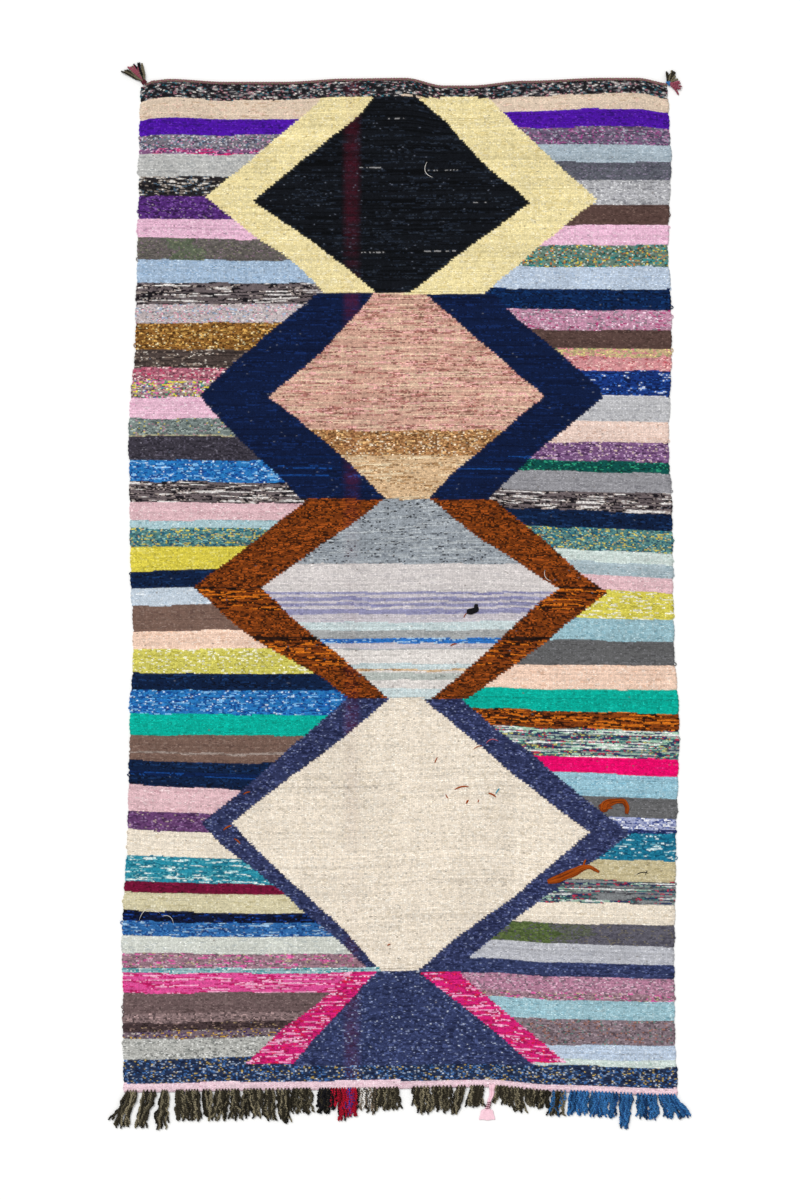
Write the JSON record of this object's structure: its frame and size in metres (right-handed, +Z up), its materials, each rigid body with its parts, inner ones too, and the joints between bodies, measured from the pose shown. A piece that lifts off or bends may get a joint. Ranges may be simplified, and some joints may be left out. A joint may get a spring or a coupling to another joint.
{
  "type": "boucherouite rug",
  "caption": "Flat-woven rag rug laid on a floor, with stacked diamonds between striped sides, a plaited top end, corner tassels and a knotted fringe.",
  "frame": {"origin": "middle of the rug's footprint, fringe and tassels included, on the floor", "axes": "+Y along the length towards the plaited end, +X across the rug, +Z up out of the patterned face"},
  "size_m": [1.5724, 2.9334, 0.011],
  "materials": {
    "woven_rag_cloth": "matte weft-faced weave of rags, wool, cotton and acrylic yarn in many colours",
    "plait_yarn": "matte plaited wool",
    "tassel_yarn": "loose knotted yarn in olive-brown and dusty rose",
    "olive_brown_yarn": "plied wool fringe",
    "mixed_yarn": "plied fringe yarn in black, red, blue and white",
    "blue_yarn": "plied acrylic fringe",
    "pink_rag": "cotton rag strip",
    "rust_rag": "loose rag yarn",
    "black_rag": "loose rag tuft"
  },
  "bodies": {
    "root": {"rug_cloth": "woven_rag_cloth", "end_plait": "plait_yarn", "tassel_left": "tassel_yarn", "tassel_right": "tassel_yarn", "fringe_brown_left": "olive_brown_yarn", "fringe_mixed": "mixed_yarn", "fringe_brown_middle": "olive_brown_yarn", "fringe_brown_right": "olive_brown_yarn", "fringe_blue": "blue_yarn", "rag_tail": "pink_rag", "rag_end_hook": "rust_rag", "rag_end_bar": "rust_rag", "dark_tuft": "black_rag"}
  },
  "joints": []
}
